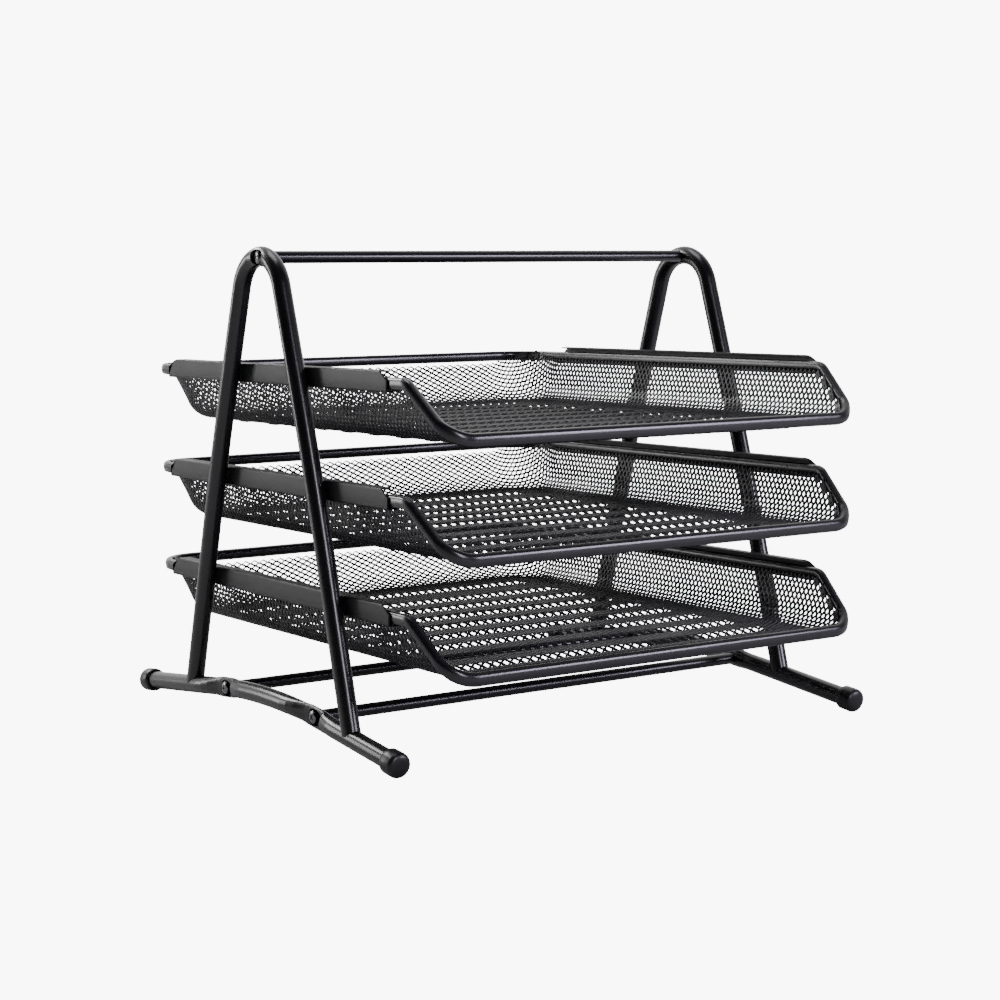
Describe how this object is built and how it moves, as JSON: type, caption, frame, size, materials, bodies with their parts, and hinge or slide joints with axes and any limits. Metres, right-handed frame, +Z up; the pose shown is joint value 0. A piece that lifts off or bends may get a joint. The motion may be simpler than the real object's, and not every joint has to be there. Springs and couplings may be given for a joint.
{
  "type": "letter tray",
  "caption": "Desk letter tray: wire-mesh trays with rolled rims slide forward in channel runners between tubular end frames with a handle bar on top.",
  "frame": {"origin": "middle of the object's box on the floor plane", "axes": "+X to the object's right seen from the front, +Y to the back, +Z up; the trays slide out towards -Y"},
  "size_m": [0.366, 0.3748, 0.3125],
  "materials": {
    "frame_tube": "satin black powder coat",
    "bar": "satin black powder coat",
    "runner": "satin black powder coat",
    "tray_rim": "satin black powder coat",
    "tray_mesh": "satin black powder coat on expanded steel mesh",
    "foot_cap": "matte black plastic",
    "screw": "black, slightly shiny"
  },
  "bodies": {
    "frame": {"left_arch_tube": "frame_tube", "left_foot_tube": "frame_tube", "left_front_cap": "foot_cap", "left_back_cap": "foot_cap", "left_handle_screw": "screw", "left_front_bar_screw": "screw", "left_back_bar_screw": "screw", "left_top_runner": "runner", "left_middle_runner": "runner", "left_bottom_runner": "runner", "right_arch_tube": "frame_tube", "right_foot_tube": "frame_tube", "right_front_cap": "foot_cap", "right_back_cap": "foot_cap", "right_handle_screw": "screw", "right_front_bar_screw": "screw", "right_back_bar_screw": "screw", "right_top_runner": "runner", "right_middle_runner": "runner", "right_bottom_runner": "runner", "handle_bar": "bar", "front_bar": "bar", "back_bar": "bar"},
    "top_tray": {"top_tray_rim": "tray_rim", "top_tray_mesh": "tray_mesh"},
    "middle_tray": {"middle_tray_rim": "tray_rim", "middle_tray_mesh": "tray_mesh"},
    "bottom_tray": {"bottom_tray_rim": "tray_rim", "bottom_tray_mesh": "tray_mesh"}
  },
  "joints": [
    {"name": "top_tray_slide", "type": "slide", "parent": "frame", "child": "top_tray", "axis": [0, -1, 0], "range_m": [0, 0.17]},
    {"name": "middle_tray_slide", "type": "slide", "parent": "frame", "child": "middle_tray", "axis": [0, -1, 0], "range_m": [0, 0.17]},
    {"name": "bottom_tray_slide", "type": "slide", "parent": "frame", "child": "bottom_tray", "axis": [0, -1, 0], "range_m": [0, 0.17]}
  ]
}
